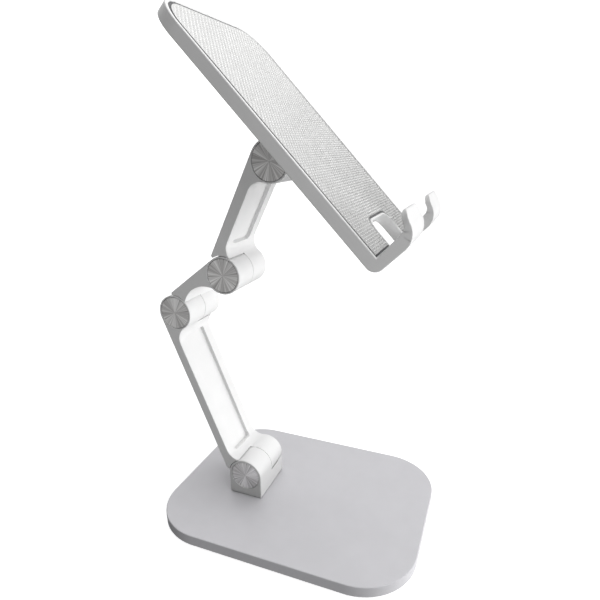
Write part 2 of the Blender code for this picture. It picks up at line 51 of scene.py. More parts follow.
# ---- dimensions, in millimetres -----------------------------------------------------
GAP = 0.3                           # clearance between fitted pieces
OVERCUT = 1.0                       # cutting tools run past a face by this
EDGE_ROUND = 0.2
MOULD_ROUND = 0.4                   # the long edges of arms and bracket
HALF_WIDTH = 15.0                   # of arms, link and pedestal, along the hinge axes
SEAM = GAP / 2                      # half the seam between two halves of a knuckle
BASE_BARREL = 9.8
BARREL = 9.4
KNUCKLE_CLEAR = 0.45
BACK_STOP = 33                      # degrees that a joint opens backwards
WEDGE_SPAN = 60                     # degrees
WEDGE_REACH = 3                     # barrel radii
POCKET_RADIUS = 4.6                 # for the bolt head or the nut
POCKET_FLOOR = 9.0
SHANK_RADIUS = 2.3
SEAT_RADIUS = 7.3                   # for a washer
SEAT_DEPTH = 0.65
BASE_HALF_X = 54.6
BASE_HALF_Y = 70.7
BASE_BOTTOM = 1.0
BASE_TOP = 7.3
BASE_CORNER = 29.5
BASE_WALL = 2.2
BASE_LOW_ROUND = 0.6
BASE_HIGH_ROUND = 0.5
CEILING = BASE_TOP - BASE_WALL
COVER_THICK = 1.6
COVER_SCREW_X, COVER_SCREW_Y = 36, 52
BOSS_RADIUS = 3.5
BOSS_PILOT = 1.3
PEDESTAL_SCREW_X, PEDESTAL_SCREW_Y = 8, 6.6
PEDESTAL_SCREW_HOLE = 1.4
PEDESTAL_ROUND = 0.5
ARM_FRONT = 4.6
UPPER_FRONT = 3.9
ARM_FILLET = 8.0
UPPER_FILLET = 7.0
SCOOP_CENTER = (-9.7, 17.5)         # the hollow in the front of the link
SCOOP_RADIUS = 13.4
LOWER_CHANNEL = (13.5, 86.0)        # both ends of the channel, along the arm
UPPER_CHANNEL = (14.5, 46.0)
CHANNEL_HALF = 8.8
CHANNEL_DEPTH = 1.8
CHANNEL_CORNER = 2.0
CAP_RADIUS = 8.5
CAP_BACK = 8.35                     # radius at its back, down in the recess
CAP_THICK = 1.1
CAP_SUNK = 0.2
CAP_FLAT = 8.1                      # radius of the turned face, inside the rounded rim
CAP_RIM_ROUND = 0.3
TRAY_HALF = 40.8
TRAY_TOP = 66.3
TRAY_BOTTOM = -66.2
TRAY_FACE = 16.7
TRAY_BACK = 11.2
TRAY_CORNER = 16.0
TRAY_ROUND = 0.45
RIM = 1.6
PAD_BOTTOM = -61.6
SHADE_SHEET_LOW = 15.3                  # dark sheet under the pad: painted shade, it makes the groove round the pad read dark as its shadow
PAD_LOW = 16.3
PAD_HIGH = 16.6
PAD_GAP = 1.3                       # the dark sheet shows as a dark line between pad and rim, painted shade of the groove
SHADE_SHEET_GAP = 0.15
WINDOW_HALF = 14.6
WINDOW_TOP = -48.1
WINDOW_CORNER = 5.0
WINDOW_BORDER = 1.0                 # raised edge round the window
BORDER_GAP = 0.9
DOT_MARGIN = 0.75
HEEL_ROUND = 4.5                    # lower back corner of the tray, seen from the side
TOE_ROUND = 8.0
TOE_FRONT = 26.6
THROAT_ROUND = 3.2                  # inside of the hooks
THROAT_FRONT = 29.2
THROAT_HIGH = -57.3
TIP_ROUND = 1.3
HOOK_CORNER = 5.5
HOOK_REACH = 35.9
HOOK_TIP = -54.3
PLATE_HALF = 15.0
PLATE_TALL = 22.0
PLATE_NEAR = 9.8
PLATE_FAR = 12.0
PLATE_CORNER = 4.0
PLATE_SCREW_X, PLATE_SCREW_Z = 10, 17
PLATE_HEAD, PLATE_HEAD_DEPTH = 2.7, 1.2
PLATE_HOLE = 1.4

# ---- the hinge axes and the frames of the pieces ------------------------------------
AXES = [Vector(joint["pos_m"]) / MM for joint in frame["joints"]]
TRAY_OUT = next(Vector(m["axis"]) for m in frame["record"]["mounts"]
                if m["name"] == "phone_rest")
X = Vector((1, 0, 0))


def local_frame(origin, along):
    """Row matrix, in millimetres, of a frame whose Z runs along a direction in the YZ plane."""
    back = along.cross(X)
    matrix = Matrix((X, back, along)).transposed().to_4x4()
    matrix.translation = origin
    return matrix


LOWER = local_frame(AXES[0], (AXES[1] - AXES[0]).normalized())
LINK = local_frame(AXES[1], (AXES[2] - AXES[1]).normalized())
UPPER = local_frame(AXES[2], (AXES[3] - AXES[2]).normalized())
TRAY = local_frame(AXES[3], X.cross(-TRAY_OUT).normalized())
PEDESTAL = Matrix.Translation(AXES[0])
ROW = Matrix.Identity(4)
LOWER_LENGTH = (AXES[1] - AXES[0]).length
LINK_LENGTH = (AXES[2] - AXES[1]).length
UPPER_LENGTH = (AXES[3] - AXES[2]).length


# ---- outlines -----------------------------------------------------------------------
def arc(center, radius, start, end, steps):
    """Points on a round stretch between two angles in degrees."""
    points = []
    for i in range(steps + 1):
        angle = math.radians(start + (end - start) * i / steps)
        points.append((center[0] + radius * math.cos(angle), center[1] + radius * math.sin(angle)))
    return points


def circle(center, radius, steps=72):
    return arc(center, radius, 0, 360, steps)[:-1]


def rounded_rectangle(half_x, low, high, radius, steps=20, lower=None):
    """A rectangle about x = 0 with its own radius for the lower corners."""
    lower = radius if lower is None else lower
    points = arc((half_x - radius, high - radius), radius, 0, 90, steps)
    points += arc((radius - half_x, high - radius), radius, 90, 180, steps)
    if lower > 0:
        points += arc((lower - half_x, low + lower), lower, 180, 270, steps)
        points += arc((half_x - lower, low + lower), lower, 270, 360, steps)
    else:
        points += [(-half_x, low), (half_x, low)]
    return points


# ---- solids -------------------------------------------------------------------------
# which axes an outline's two coordinates and its level run along
WAYS = {"side": lambda u, v, w: (w, u, v), "front": lambda u, v, w: (u, w, v),
        "plan": lambda u, v, w: (u, v, w)}


def as_object(work, name="solid"):
    bmesh.ops.recalc_face_normals(work, faces=work.faces)
    mesh = bpy.data.meshes.new(name)
    work.to_mesh(mesh)
    work.free()
    made = bpy.data.objects.new(name, mesh)
    bpy.context.scene.collection.objects.link(made)
    return made


def loft(levels, way):
    """A closed solid through equal outlines at rising levels: [(outline, level), ...]."""
    work = bmesh.new()
    rings = [[work.verts.new(WAYS[way](u, v, level)) for u, v in outline]
             for outline, level in levels]
    work.faces.new(rings[0])
    work.faces.new(rings[-1])
    for near, far in zip(rings, rings[1:]):
        for i in range(len(near)):
            j = (i + 1) % len(near)
            work.faces.new((near[i], near[j], far[j], far[i]))
    return as_object(work)


def prism(outline, low, high, way):
    """A straight solid with one outline from a low level to a high one."""
    return loft([(outline, low), (outline, high)], way)


def turned(profile, steps=72, way="x"):
    """A closed solid of revolution about X or Z from (radius, height) points."""
    work = bmesh.new()
    rings = []
    for radius, height in profile:
        spots = circle((0, 0), radius, steps) if radius > 0 else [(0, 0)]
        rings.append([work.verts.new((height, u, v) if way == "x" else (u, v, height))
                      for u, v in spots])
    for near, far in zip(rings, rings[1:]):
        for i in range(max(len(near), len(far))):
            j = (i + 1) % steps
            if len(near) == 1:
                work.faces.new((near[0], far[i], far[j]))
            elif len(far) == 1:
                work.faces.new((near[i], near[j], far[0]))
            else:
                work.faces.new((near[i], near[j], far[j], far[i]))
    return as_object(work)


def moved(solid, shift):
    """The same solid, shifted by a vector."""
    solid.data.transform(Matrix.Translation(shift))
    return solid


def apply(solid):
    """Replaces a solid's mesh by what its modifiers make of it."""
    shown = solid.evaluated_get(bpy.context.evaluated_depsgraph_get())
    mesh = bpy.data.meshes.new_from_object(shown)
    solid.modifiers.clear()
    old = solid.data
    solid.data = mesh
    bpy.data.meshes.remove(old)
    return solid


def combine(solid, tools, operation):
    """Runs a boolean with each tool in turn and takes the tools away."""
    for tool in tools:
        step = solid.modifiers.new("Boolean", "BOOLEAN")
        step.operation = operation
        step.solver = "EXACT"
        step.object = tool
        apply(solid)
        mesh = tool.data
        bpy.data.objects.remove(tool)
        bpy.data.meshes.remove(mesh)
    return solid


def cut(solid, *tools):
    return combine(solid, tools, "DIFFERENCE")


def join(solid, *tools):
    return combine(solid, tools, "UNION")


def clean(solid):
    """Takes out the slivers that booleans leave and splits the many-sided faces."""
    work = bmesh.new()
    work.from_mesh(solid.data)
    bmesh.ops.remove_doubles(work, verts=work.verts, dist=0.005)
    bmesh.ops.dissolve_degenerate(work, edges=work.edges, dist=0.003)
    bmesh.ops.triangulate(work, faces=[f for f in work.faces if len(f.verts) > 4])
    work.to_mesh(solid.data)
    work.free()
    return solid


def round_edges(solid, width, segments=3, angle=38):
    """Rounds every edge that bends by more than angle, in degrees."""
    work = bmesh.new()
    work.from_mesh(solid.data)
    weight = work.edges.layers.float.new("bevel_weight_edge")
    for edge in work.edges:
        if len(edge.link_faces) == 2 and edge.calc_face_angle() > math.radians(angle):
            edge[weight] = 1.0
    work.to_mesh(solid.data)
    work.free()
    bevel = solid.modifiers.new("Bevel", "BEVEL")
    bevel.width = width
    bevel.segments = segments
    bevel.limit_method = "WEIGHT"
    bevel.use_clamp_overlap = False
    bevel.miter_outer = "MITER_ARC"
    return apply(solid)


def shade(mesh, angle):
    """Smooth shading in which flat areas stay flat: each flat area counts by its whole size."""
    work = bmesh.new()
    work.from_mesh(mesh)
    work.faces.ensure_lookup_table()
    work.normal_update()
    area = [0.0] * len(work.faces)
    group = [-1] * len(work.faces)
    for seed in work.faces:
        if group[seed.index] >= 0:
            continue
        group[seed.index] = seed.index
        members, queue = [seed], [seed]
        while queue:
            for edge in queue.pop().edges:
                for other in edge.link_faces:
                    if group[other.index] < 0 and other.normal.dot(seed.normal) > 0.99999:
                        group[other.index] = seed.index
                        members.append(other)
                        queue.append(other)
        total = sum(face.calc_area() for face in members)
        for face in members:
            area[face.index] = total
    limit = math.cos(angle)
    normals = []
    for face in work.faces:
        for corner in face.loops:
            seen, normal = set(), Vector()
            for other in corner.vert.link_faces:
                if group[other.index] not in seen and other.normal.dot(face.normal) > limit:
                    seen.add(group[other.index])
                    normal += other.normal * area[other.index]
            normals.append(normal.normalized() if normal.length > 0 else face.normal.copy())
    work.free()
    mesh.shade_smooth()
    mesh.normals_split_custom_set(normals)


def place(solid, name, where, body, finish, slot, *nodes, angle=38):
    """Turns a drawn solid into a named piece of the stand, riding on its body."""
    solid.name = name
    solid.data.name = name
    solid.data.transform(Matrix.Scale(MM, 4) @ where.to_3x3().to_4x4())
    solid.location = where.translation * MM
    shade(solid.data, math.radians(angle))
    solid.data.materials.clear()
    solid.data.materials.append(finish)
    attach(solid, body)
    if nodes:
        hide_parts(*nodes)
    return solid


# ---- materials ----------------------------------------------------------------------
class Shader:
    """A Principled material with small helpers for its nodes."""

    def __init__(self, name, color, roughness, **constants):
        self.material = bpy.data.materials.new(name)
        self.material.use_nodes = True
        self.tree = self.material.node_tree
        self.surface = self.tree.nodes["Principled BSDF"]
        self.surface.inputs["Base Color"].default_value = (*color, 1)
        self.surface.inputs["Roughness"].default_value = roughness
        for key, value in constants.items():
            self.surface.inputs[key.replace("_", " ")].default_value = value
        self.where = self.node("ShaderNodeTexCoord").outputs["Object"]

    def node(self, kind, inputs=None, **settings):
        made = self.tree.nodes.new(kind)
        for key, value in settings.items():
            setattr(made, key, value)
        for key, value in (inputs or {}).items():
            if isinstance(value, bpy.types.NodeSocket):
                self.tree.links.new(value, made.inputs[key])
            else:
                made.inputs[key].default_value = value
        return made

    def noise(self, size_mm, detail=3.0, where=None):
        """Noise whose blotches are about size_mm across."""
        made = self.node("ShaderNodeTexNoise", {"Vector": where or self.where,
                                                "Scale": 1 / (size_mm * MM), "Detail": detail})
        return made.outputs["Fac"]

    def spread(self, value, low, high, to_low, to_high):
        """Maps a value from the range low..high to the range to_low..to_high."""
        made = self.node("ShaderNodeMapRange", {"Value": value, "From Min": low, "From Max": high,
                                                "To Min": to_low, "To Max": to_high})
        return made.outputs["Result"]

    def link(self, value, socket):
        """Feeds a value into a socket of the surface."""
        self.tree.links.new(value, self.surface.inputs[socket])

    def tint(self, factor, dark, light):
        """Colours the surface between dark and light by a factor."""
        mix = self.node("ShaderNodeMix", {"Factor": factor}, data_type="RGBA")
        for socket in mix.inputs:
            if socket.type == "RGBA":
                socket.default_value = (*dark, 1) if socket.name == "A" else (*light, 1)
        result = next(s for s in mix.outputs if s.type == "RGBA")
        self.link(result, "Base Color")

    def bump(self, height, depth_mm, strength=1.0):
        """Gives the surface a relief depth_mm deep."""
        made = self.node("ShaderNodeBump", {"Height": height, "Distance": depth_mm * MM,
                                            "Strength": strength})
        self.link(made.outputs["Normal"], "Normal")


def moulded(name, color, roughness, grain_mm, depth_mm, shade=0.03, **constants):
    """Moulded plastic: a fine etched grain, faint mottling and uneven gloss."""
    made = Shader(name, color, roughness, **constants)
    mottle = made.noise(14, 2.0)
    darker = tuple(c * (1 - shade) for c in color)
    made.tint(made.spread(mottle, 0.35, 0.65, 0, 1), darker, color)
    made.link(made.spread(made.noise(3, 4.0), 0.3, 0.7, roughness - 0.04, roughness + 0.05),
              "Roughness")
    made.bump(made.noise(grain_mm, 4.0), depth_mm)
    return made.material


def plated(name, color, roughness, grain_mm):
    """Plated or rolled steel with faint blotches and drawing marks."""
    made = Shader(name, color, roughness, Metallic=1.0)
    darker = tuple(c * 0.8 for c in color)
    made.tint(made.spread(made.noise(grain_mm * 6), 0.35, 0.65, 0, 1), darker, color)
    made.link(made.spread(made.noise(grain_mm, 4.0), 0.3, 0.7, roughness - 0.08, roughness + 0.1),
              "Roughness")
    made.bump(made.noise(grain_mm, 4.0), 0.01)
    return made.material


def spun(name):
    """Face-turned metal: fine rings, and painted reflections, light and dark wedges round the centre painted into
    its colour.
    """
    made = Shader(name, (0.7, 0.7, 0.7), 0.4, Metallic=1.0)
    flat = made.node("ShaderNodeVectorMath", {0: made.where, 1: (0, 1, 1)}, operation="MULTIPLY")
    radius = made.node("ShaderNodeVectorMath", {0: flat.outputs[0]}, operation="LENGTH")
    around = made.node("ShaderNodeVectorMath", {0: flat.outputs[0]},
                       operation="NORMALIZE").outputs[0]
    pick = made.node("ShaderNodeObjectInfo").outputs["Random"]
    # painted reflection: the light and dark wedges and streaks round the centre are painted into the base colour
    wedges = made.node("ShaderNodeTexNoise", {"Vector": around, "W": made.spread(pick, 0, 1, 0, 20),
                                              "Scale": 1.6, "Detail": 1.0},
                       noise_dimensions="4D")
    streaks = made.node("ShaderNodeTexNoise", {"Vector": around, "Scale": 12.0, "Detail": 4.0})
    painted_fans = made.node("ShaderNodeMath", {0: streaks.outputs["Fac"], 1: 1.5,
                                        2: wedges.outputs["Fac"]}, operation="MULTIPLY_ADD")
    made.tint(made.spread(painted_fans.outputs[0], 0.98, 1.52, 0, 1), (0.45, 0.44, 0.435),
              (1.0, 0.995, 0.99))
    rings = made.node("ShaderNodeTexNoise", {"W": radius.outputs["Value"], "Scale": 6000.0,
                                             "Detail": 2.0}, noise_dimensions="1D")
    made.bump(rings.outputs["Fac"], 0.02, 0.6)
    return made.material


WHITE = (0.84, 0.84, 0.84)
ARM_PLASTIC = moulded("arm_plastic", WHITE, 0.38, 0.25, 0.004)
TRAY_PLASTIC = moulded("tray_plastic", WHITE, 0.40, 0.25, 0.004)
BASE_PLASTIC = moulded("base_plastic", (0.60, 0.595, 0.62), 0.5, 0.6, 0.05)
SILICONE = moulded("tray_silicone", (0.735, 0.735, 0.73), 0.28, 0.2, 0.001, Metallic=0.75)
FOOT_SILICONE = moulded("foot_silicone", (0.13, 0.13, 0.135), 0.7, 0.4, 0.02, shade=0.2)
NYLON = moulded("nylon", (0.80, 0.78, 0.70), 0.45, 0.5, 0.006)
STEEL = plated("zinc_steel", (0.60, 0.60, 0.62), 0.32, 0.4)
BALLAST = plated("ballast_steel", (0.34, 0.34, 0.35), 0.5, 0.6)
SPUN = spun("spun_metal")


# ---- hinge features -----------------------------------------------------------------
def knuckle_bore(side, along=0.0):
    """Cap recess, pocket, shank hole and washer seat of one knuckle."""
    cap_floor = HALF_WIDTH - CAP_SUNK - CAP_THICK - GAP
    outside = HALF_WIDTH + OVERCUT
    profile = [(0, outside)]
    for radius, high, low in ((CAP_BACK + GAP, outside, cap_floor),
                              (POCKET_RADIUS, cap_floor, POCKET_FLOOR),
                              (SHANK_RADIUS, POCKET_FLOOR, SEAT_DEPTH),
                              (SEAT_RADIUS, SEAT_DEPTH, -GAP)):
        profile += [(radius, high), (radius, low)]
    profile.append((0, -GAP))
    bore = turned([(radius, side * height) for radius, height in profile])
    return moved(bore, (0, 0, along))


def turning_room(side, barrel, stop_side, along=0.0):
    """The space that the neighbour's barrel and web sweep in one half of a piece."""
    low, high = (-HALF_WIDTH - OVERCUT, SEAM) if side < 0 else (-SEAM, HALF_WIDTH + OVERCUT)
    reach = WEDGE_REACH * barrel
    wedge = [(0, 0)]
    for angle in (BACK_STOP, BACK_STOP - WEDGE_SPAN):
        wedge.append((reach * math.cos(math.radians(angle)),
                      stop_side * reach * math.sin(math.radians(angle))))
    return [moved(prism(outline, low, high, "side"), (0, 0, along))
            for outline in (circle((0, 0), barrel + KNUCKLE_CLEAR, 90), wedge)]


def arm_outline(length, low_radius, high_radius, front, fillet):
    """Two barrels, a straight back that touches both, and a front filleted into each."""
    slope = math.degrees(math.asin((low_radius - high_radius) / length))
    low_mid = math.sqrt((low_radius + fillet) ** 2 - (front - fillet) ** 2)
    high_mid = length - math.sqrt((high_radius + fillet) ** 2 - (front - fillet) ** 2)
    low_touch = math.degrees(math.atan2(low_mid, front - fillet))
    high_touch = math.degrees(math.atan2(high_mid - length, front - fillet))
    points = arc((0, 0), low_radius, low_touch, 360 + slope, 56)
    points += arc((0, length), high_radius, slope, 360 + high_touch, 56)
    points += arc((front - fillet, high_mid), fillet, high_touch + 180, 0, 16)[1:]
    points += arc((front - fillet, low_mid), fillet, 0, low_touch - 180, 16)[:-1]
    return points


def link_outline():
    """Flat back and one wide scoop in front; the scoop meets both barrels in a corner."""
    scoop_y, scoop_z = SCOOP_CENTER
    ends = []
    for center_z, sign in ((0, -1), (LINK_LENGTH, 1)):
        dy, dz = scoop_y, scoop_z - center_z
        apart = math.hypot(dy, dz)
        opening = math.acos((apart ** 2 + BARREL ** 2 - SCOOP_RADIUS ** 2) / (2 * apart * BARREL))
        ends.append(math.degrees(math.atan2(dz, dy) + sign * opening))
    low_angle, high_angle = ends
    points = arc((0, 0), BARREL, low_angle, 360, 56)
    points += arc((0, LINK_LENGTH), BARREL, 0, high_angle % 360, 56)
    start = math.degrees(math.atan2(points[-1][1] - scoop_z, points[-1][0] - scoop_y))
    end = math.degrees(math.atan2(points[0][1] - scoop_z, points[0][0] - scoop_y))
    return points + arc(SCOOP_CENTER, SCOOP_RADIUS, start, end, 24)[1:-1]


def make_arm(outline, length, low_barrel, high_barrel):
    """An arm with half a knuckle at each end: the right half below, the left half above."""
    arm = round_edges(prism(outline, -HALF_WIDTH, HALF_WIDTH, "side"), MOULD_ROUND, 4, 60)
    cut(arm, *turning_room(-1, low_barrel, 1), *turning_room(1, high_barrel, -1, length))
    return cut(arm, knuckle_bore(1), knuckle_bore(-1, length))


def channel(ends, front):
    """The tool for the shallow channel in an arm's front face."""
    outline = rounded_rectangle(CHANNEL_HALF, ends[0], ends[1], CHANNEL_CORNER, 8)
    return prism(outline, front - 3, front + CHANNEL_DEPTH, "front")


# ---- arms ---------------------------------------------------------------------------
lower = make_arm(arm_outline(LOWER_LENGTH, BASE_BARREL, BARREL, ARM_FRONT, ARM_FILLET),
                 LOWER_LENGTH, BASE_BARREL, BARREL)
cut(lower, channel(LOWER_CHANNEL, ARM_FRONT))
place(round_edges(clean(lower), EDGE_ROUND), "lower_arm_shell", LOWER, "lower_arm", ARM_PLASTIC,
      "arm_plastic", "lower_arm")

link = make_arm(link_outline(), LINK_LENGTH, BARREL, BARREL)
place(round_edges(clean(link), EDGE_ROUND), "middle_link_shell", LINK, "middle_link", ARM_PLASTIC,
      "arm_plastic", "middle_link")

upper = make_arm(arm_outline(UPPER_LENGTH, BARREL, BARREL, UPPER_FRONT, UPPER_FILLET),
                 UPPER_LENGTH, BARREL, BARREL)
cut(upper, channel(UPPER_CHANNEL, UPPER_FRONT))
place(round_edges(clean(upper), EDGE_ROUND), "upper_arm_shell", UPPER, "upper_arm", ARM_PLASTIC,
      "arm_plastic", "upper_arm")

# ---- pedestal -----------------------------------------------------------------------
foot = BASE_TOP + GAP - AXES[0].z
pedestal = prism(arc((0, 0), BASE_BARREL, 0, 180, 60) + [(-BASE_BARREL, foot), (BASE_BARREL, foot)],
                 -HALF_WIDTH, HALF_WIDTH, "side")
round_edges(pedestal, PEDESTAL_ROUND, 4, 60)
cut(pedestal,
    prism(circle((0, 0), BASE_BARREL + KNUCKLE_CLEAR, 90), -SEAM, HALF_WIDTH + OVERCUT, "side"),
    knuckle_bore(-1))
place(round_edges(clean(pedestal), EDGE_ROUND), "pedestal_block", PEDESTAL, "base", ARM_PLASTIC,
      "arm_plastic", "pedestal")


# ---- base ---------------------------------------------------------------------------
def base_outline(inset):
    """The base's rounded rectangle, drawn in by inset."""
    half_y = BASE_HALF_Y - inset
    return rounded_rectangle(BASE_HALF_X - inset, -half_y, half_y, BASE_CORNER - inset, 40)


def soft_slab(outline_at, low, high, low_round, high_round, steps=6):
    """A slab whose two edges are rounded; outline_at(inset) gives its outline."""
    levels = []
    for i in range(steps + 1):
        turn = math.radians(90 * i / steps)
        levels.append((outline_at(low_round * (1 - math.sin(turn))),
                       low + low_round * (1 - math.cos(turn))))
    for i in range(steps + 1):
        turn = math.radians(90 * i / steps)
        levels.append((outline_at(high_round * (1 - math.cos(turn))),
                       high - high_round * (1 - math.sin(turn))))
    return loft(levels, "plan")


def post(x, y, radius, low, high, steps=24):
    """An upright round solid."""
    profile = [(0, low), (radius, low), (radius, high), (0, high)]
    return moved(turned(profile, steps, "z"), (x, y, 0))


def corners(half_x, half_y):
    return [(sx * half_x, sy * half_y) for sx in (-1, 1) for sy in (-1, 1)]


shell = soft_slab(base_outline, BASE_BOTTOM, BASE_TOP, BASE_LOW_ROUND, BASE_HIGH_ROUND)
cut(shell, prism(base_outline(BASE_WALL), 0, CEILING, "plan"))
boss_foot = BASE_BOTTOM + COVER_THICK + GAP
for x, y in corners(COVER_SCREW_X, COVER_SCREW_Y):
    join(shell, post(x, y, BOSS_RADIUS, boss_foot, CEILING + 0.5, 40))
    cut(shell, post(x, y, BOSS_PILOT, 0, CEILING))
for x, y in corners(PEDESTAL_SCREW_X, PEDESTAL_SCREW_Y):
    cut(shell, post(x, AXES[0].y + y, PEDESTAL_SCREW_HOLE, 0, 9))
clean(shell)
place(shell, "base_cover_shell", ROW, "base", BASE_PLASTIC, "base_plastic", "base_shell")
shell.visible_diffuse = False       # its bounce would flatten the shading of the pedestal

# ---- tray ---------------------------------------------------------------------------
def window_outline(grown, low):
    """The cable window, grown all round, open downwards to a low level."""
    return rounded_rectangle(WINDOW_HALF + grown, low, WINDOW_TOP + grown, WINDOW_CORNER + grown,
                             14, 0)


heel = arc((-TRAY_BACK - HEEL_ROUND, TRAY_BOTTOM + HEEL_ROUND), HEEL_ROUND, 0, -90, 16)
toe = arc((-TOE_FRONT, TRAY_BOTTOM + TOE_ROUND), TOE_ROUND, -90, -170, 30)
tip = arc((TIP_ROUND - HOOK_REACH, HOOK_TIP - TIP_ROUND), TIP_ROUND, -200, -360, 14)
throat = arc((-THROAT_FRONT, THROAT_HIGH), THROAT_ROUND, 180, 270, 16)
side_view = ([(-TRAY_BACK, TRAY_TOP)] + heel + toe + tip + throat
             + [(-TRAY_FACE, PAD_BOTTOM), (-TRAY_FACE, TRAY_TOP)])
tray = prism(side_view, -TRAY_HALF, TRAY_HALF, "side")
front_view = rounded_rectangle(TRAY_HALF, TRAY_BOTTOM - 5, TRAY_TOP, TRAY_CORNER, 32, 0)
combine(tray, [prism(front_view, -50, 0, "front")], "INTERSECT")
pocket = rounded_rectangle(TRAY_HALF - RIM, PAD_BOTTOM, TRAY_TOP - RIM, TRAY_CORNER - RIM, 32, 0)
window = window_outline(0, PAD_BOTTOM)
between = rounded_rectangle(WINDOW_HALF, TRAY_BOTTOM - 2, HOOK_TIP + 3, 1.0, 4, 0)
plate_pocket = rounded_rectangle(PLATE_HALF + GAP, -PLATE_TALL - GAP, PLATE_TALL + GAP,
                                 PLATE_CORNER + GAP, 12)
pocket_tool = prism(pocket, -TRAY_FACE - 0.5, -SHADE_SHEET_LOW + GAP, "front")
cut(pocket_tool, prism(window_outline(WINDOW_BORDER, PAD_BOTTOM - OVERCUT),
                       -TRAY_FACE - OVERCUT, 0, "front"))
cut(tray, pocket_tool,
    prism(window, -TRAY_FACE - OVERCUT, -TRAY_BACK + OVERCUT, "front"),
    prism(between, -HOOK_REACH - OVERCUT, -TRAY_FACE, "front"),
    prism(plate_pocket, -PLATE_FAR - GAP, -TRAY_BACK + OVERCUT, "front"))
hook_edges = [(side, edge, side * out) for side in (-1, 1)
              for edge, out in ((TRAY_HALF, 1), (WINDOW_HALF, -1))]
for side, edge, outward in hook_edges:
    turn = arc((0, HOOK_TIP - HOOK_CORNER), HOOK_CORNER, 0, 90, 12)
    outline = [(side * edge + outward * (x - HOOK_CORNER), u) for x, u in turn]
    outline += [(outline[-1][0], HOOK_TIP + 0.5), (side * edge + outward * 0.5, HOOK_TIP + 0.5),
                (side * edge + outward * 0.5, outline[0][1])]
    cut(tray, prism(outline, -HOOK_REACH - OVERCUT, -30, "front"))
place(round_edges(clean(tray), TRAY_ROUND, 4), "tray_frame", TRAY, "tray", TRAY_PLASTIC,
      "tray_plastic", "tray_shell")


# ---- tray pad -----------------------------------------------------------------------
def inside_pad(x, u, margin):
    """Whether a spot lies on the pad, clear of its edge and of the window."""
    half = TRAY_HALF - RIM - PAD_GAP - margin
    top = TRAY_TOP - RIM - PAD_GAP - margin
    corner = TRAY_CORNER - RIM - PAD_GAP - margin
    if abs(x) > half or u > top or u < PAD_BOTTOM + PAD_GAP + margin:
        return False
    if (abs(x) > half - corner and u > top - corner
            and math.hypot(abs(x) - half + corner, u - top + corner) > corner):
        return False
    margin += WINDOW_BORDER + BORDER_GAP
    reach, lid, turn = WINDOW_HALF + margin, WINDOW_TOP + margin, WINDOW_CORNER + margin
    if abs(x) > reach or u > lid:
        return True
    return (abs(x) > reach - turn and u > lid - turn
            and math.hypot(abs(x) - reach + turn, u - lid + turn) > turn)


def add_dots(solid, pitch_x=2.5, pitch_u=1.25, half_x=0.98, half_u=0.43, rise=0.24):
    """Staggered rows of low oval bumps moulded on the pad."""
    work = bmesh.new()
    work.from_mesh(solid.data)
    dome = ((1.0, -0.05), (0.92, 0.45 * rise), (0.6, 0.88 * rise))
    low, columns = -64, 17
    for row in range(int(140 / pitch_u)):
        u = low + row * pitch_u
        for column in range(-columns, columns + 1):
            x = (column + 0.5 * (row % 2)) * pitch_x
            if not inside_pad(x, u, DOT_MARGIN):
                continue
            rings = []
            for scale, height in dome:
                rings.append([work.verts.new((x + scale * half_x * c, -PAD_HIGH - height,
                                              u + scale * half_u * s))
                              for c, s in circle((0, 0), 1.0, 10)])
            top = work.verts.new((x, -PAD_HIGH - rise, u))
            work.faces.new(rings[0])
            for near, far in zip(rings, rings[1:]):
                for i in range(10):
                    j = (i + 1) % 10
                    work.faces.new((near[i], near[j], far[j], far[i]))
            for i in range(10):
                work.faces.new((rings[-1][i], rings[-1][(i + 1) % 10], top))
    bmesh.ops.recalc_face_normals(work, faces=work.faces)
    work.to_mesh(solid.data)
    work.free()
    return solid


def pad_sheet(inset, low, high):
    """A sheet filling the pocket up to inset from its walls, cut out round the window."""
    edge = RIM + inset
    outline = rounded_rectangle(TRAY_HALF - edge, PAD_BOTTOM + inset, TRAY_TOP - edge,
                                TRAY_CORNER - edge, 32, 0)
    hole = window_outline(WINDOW_BORDER + inset * BORDER_GAP / PAD_GAP, PAD_BOTTOM - OVERCUT)
    return cut(prism(outline, -high, -low, "front"),
               prism(hole, -TRAY_FACE - OVERCUT, -TRAY_BACK, "front"))


place(add_dots(round_edges(clean(pad_sheet(PAD_GAP, PAD_LOW, PAD_HIGH)), 0.1, 2)),
      "tray_pad_sheet", TRAY, "tray", SILICONE, "tray_silicone", "tray_pad")
# painted shade: a dark sheet under the pad stands in for the shadow in the groove round it
place(clean(pad_sheet(SHADE_SHEET_GAP, SHADE_SHEET_LOW, PAD_LOW - 0.01)), "tray_pad_backing", TRAY,
      "tray", FOOT_SILICONE, "foot_silicone")

# ---- tray bracket -------------------------------------------------------------------
into_plate = -PLATE_NEAR - OVERCUT
bracket = prism(arc((0, 0), BARREL, -90, 90, 50) + [(into_plate, BARREL), (into_plate, -BARREL)],
                SEAM, HALF_WIDTH, "side")
round_edges(bracket, MOULD_ROUND, 4, 60)
plate = prism(rounded_rectangle(PLATE_HALF, -PLATE_TALL, PLATE_TALL, PLATE_CORNER, 14), -PLATE_FAR,
              -PLATE_NEAR, "front")
join(bracket, plate)
cut(bracket, knuckle_bore(1))
for x, z in corners(PLATE_SCREW_X, PLATE_SCREW_Z):
    cut(bracket,
        prism(circle((x, z), PLATE_HEAD, 32), -PLATE_NEAR - PLATE_HEAD_DEPTH,
              -PLATE_NEAR + OVERCUT, "front"),
        prism(circle((x, z), PLATE_HOLE, 24), -PLATE_FAR - OVERCUT, -PLATE_NEAR, "front"))
place(round_edges(clean(bracket), EDGE_ROUND), "tray_bracket_plate", TRAY, "tray", ARM_PLASTIC,
      "arm_plastic", "tray_bracket")


